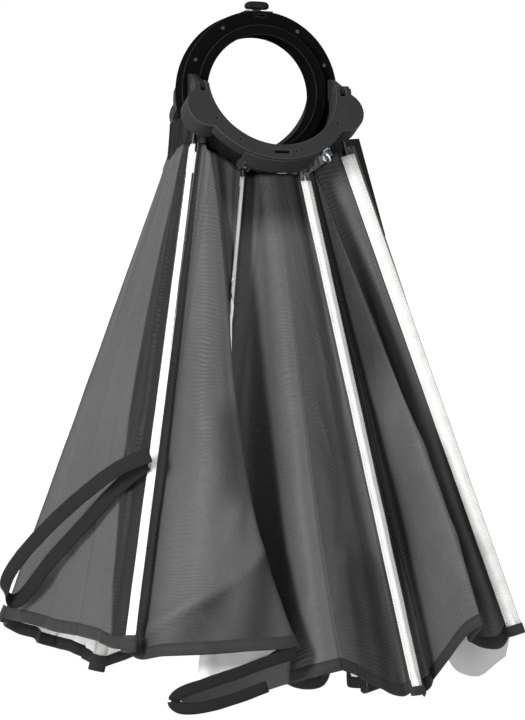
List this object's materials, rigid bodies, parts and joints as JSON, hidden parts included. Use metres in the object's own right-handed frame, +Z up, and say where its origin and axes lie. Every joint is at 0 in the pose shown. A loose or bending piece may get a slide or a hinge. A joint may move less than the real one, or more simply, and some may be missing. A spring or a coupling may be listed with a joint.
{
  "type": "octabox",
  "caption": "Folding octagonal softbox hanging closed from its mount ring: two hinged half rings, spring ribs in white sleeves, black cloth gores and a binding strap.",
  "frame": {"origin": "centre of the lamp bore, in the plane of the mount ring's front face", "axes": "-Y out of the bore towards the lamp, +Z up, X along the hinge lines of the two half rings"},
  "size_m": [0.6152, 0.5053, 0.929],
  "materials": {
    "ring_black": "glossy",
    "ring_grey": "satin",
    "half_grey": "satin moulded",
    "steel": "bright",
    "rod_steel": "satin",
    "screw_steel": "blackened",
    "cap_plastic": "matt",
    "cloth_black": "coated weave",
    "tape_white": "woven tape",
    "lining_white": "thin translucent weave",
    "webbing": "ribbed webbing"
  },
  "bodies": {
    "ring": {"mount_ring": "ring_black", "lamp_collar": "ring_black", "hinge_arms": "ring_grey", "front_hinge_pins": "steel", "rear_hinge_pins": "steel", "ring_screws": "screw_steel", "button_guide": "ring_grey", "button_spring": "steel"},
    "lock": {"lock_button": "ring_black", "lock_stem": "steel"},
    "front_half": {"front_half_ring": "half_grey", "front_rim_block": "half_grey", "front_half_screws": "screw_steel", "cloth_clip": "steel", "front_rib_pins": "steel"},
    "rear_half": {"rear_half_ring": "half_grey", "rear_rim_block": "half_grey", "rear_half_screws": "screw_steel", "rear_rib_pins": "steel"},
    "rib_1": {"rib_rod_1": "rod_steel", "rib_cap_1": "cap_plastic", "sleeve_1": "tape_white", "cloth_1": "cloth_black", "binding_strap": "webbing"},
    "rib_2": {"rib_rod_2": "rod_steel", "rib_cap_2": "cap_plastic", "sleeve_2": "tape_white", "cloth_2": "cloth_black", "hem_tongue": "webbing"},
    "rib_3": {"rib_rod_3": "rod_steel", "rib_cap_3": "cap_plastic", "sleeve_3": "tape_white", "cloth_3": "cloth_black"},
    "rib_4": {"rib_rod_4": "rod_steel", "rib_cap_4": "cap_plastic", "sleeve_4": "tape_white", "cloth_4": "cloth_black", "inner_flap": "lining_white"},
    "rib_5": {"rib_rod_5": "rod_steel", "rib_cap_5": "cap_plastic", "sleeve_5": "tape_white", "cloth_5": "cloth_black"},
    "rib_6": {"rib_rod_6": "rod_steel", "rib_cap_6": "cap_plastic", "sleeve_6": "tape_white", "cloth_6": "cloth_black"},
    "rib_7": {"rib_rod_7": "rod_steel", "rib_cap_7": "cap_plastic", "sleeve_7": "tape_white", "cloth_7": "cloth_black"},
    "rib_8": {"rib_rod_8": "rod_steel", "rib_cap_8": "cap_plastic", "sleeve_8": "tape_white", "cloth_8": "cloth_black"}
  },
  "joints": [
    {"name": "rear_half_swing", "type": "hinge", "parent": "ring", "child": "rear_half", "pos_m": [0, 0.04, 0], "axis": [1, 0, 0], "range_deg": [0, 157.5]},
    {"name": "front_half_swing", "type": "hinge", "parent": "ring", "child": "front_half", "pos_m": [0, -0.041, 0], "axis": [1, 0, 0], "range_deg": [0, 22.51]},
    {"name": "lock_button_press", "type": "slide", "parent": "ring", "child": "lock", "axis": [0, 0, -1], "range_m": [0, 0.0035], "stiffness_N_per_m": 600, "springref_m": -0.003, "deforming": ["button_spring"]},
    {"name": "rib_1_fold", "type": "hinge", "parent": "front_half", "child": "rib_1", "pos_m": [-0.09978, -0.0291, -0.04966], "axis": [0.8832, 0.3913, -0.2587], "range_deg": [0, 64.47]},
    {"name": "rib_2_fold", "type": "hinge", "parent": "front_half", "child": "rib_2", "pos_m": [-0.04133, -0.05147, -0.10366], "axis": [0.9809, 0.1139, -0.1576], "range_deg": [0, 47.34]},
    {"name": "rib_3_fold", "type": "hinge", "parent": "front_half", "child": "rib_3", "pos_m": [0.04133, -0.05147, -0.10366], "axis": [0.9807, -0.1041, 0.1655], "range_deg": [0, 51.27]},
    {"name": "rib_4_fold", "type": "hinge", "parent": "front_half", "child": "rib_4", "pos_m": [0.09978, -0.0291, -0.04966], "axis": [0.881, -0.3415, 0.3274], "range_deg": [0, 65.63]},
    {"name": "rib_5_fold", "type": "hinge", "parent": "rear_half", "child": "rib_5", "pos_m": [0.08962, 0.0579, -0.03276], "axis": [-0.8758, -0.395, -0.2775], "range_deg": [0, 57.05]},
    {"name": "rib_6_fold", "type": "hinge", "parent": "rear_half", "child": "rib_6", "pos_m": [0.03712, 0.07799, -0.08126], "axis": [-0.9749, -0.0439, -0.2182], "range_deg": [0, 46.93]},
    {"name": "rib_7_fold", "type": "hinge", "parent": "rear_half", "child": "rib_7", "pos_m": [-0.03712, 0.07799, -0.08126], "axis": [-0.9783, 0.0795, 0.1912], "range_deg": [0, 48.1]},
    {"name": "rib_8_fold", "type": "hinge", "parent": "rear_half", "child": "rib_8", "pos_m": [-0.08962, 0.0579, -0.03276], "axis": [-0.8734, 0.3478, 0.3409], "range_deg": [0, 59.52]}
  ],
  "couplings": [
    {"joint": "front_half_swing", "follows": "rear_half_swing", "ratio": 0.14286},
    {"joint": "rib_1_fold", "follows": "rear_half_swing", "ratio": 0.4093},
    {"joint": "rib_2_fold", "follows": "rear_half_swing", "ratio": 0.30053},
    {"joint": "rib_3_fold", "follows": "rear_half_swing", "ratio": 0.32544},
    {"joint": "rib_4_fold", "follows": "rear_half_swing", "ratio": 0.41666},
    {"joint": "rib_5_fold", "follows": "rear_half_swing", "ratio": 0.36217},
    {"joint": "rib_6_fold", "follows": "rear_half_swing", "ratio": 0.29788},
    {"joint": "rib_7_fold", "follows": "rear_half_swing", "ratio": 0.30533},
    {"joint": "rib_8_fold", "follows": "rear_half_swing", "ratio": 0.37786}
  ]
}
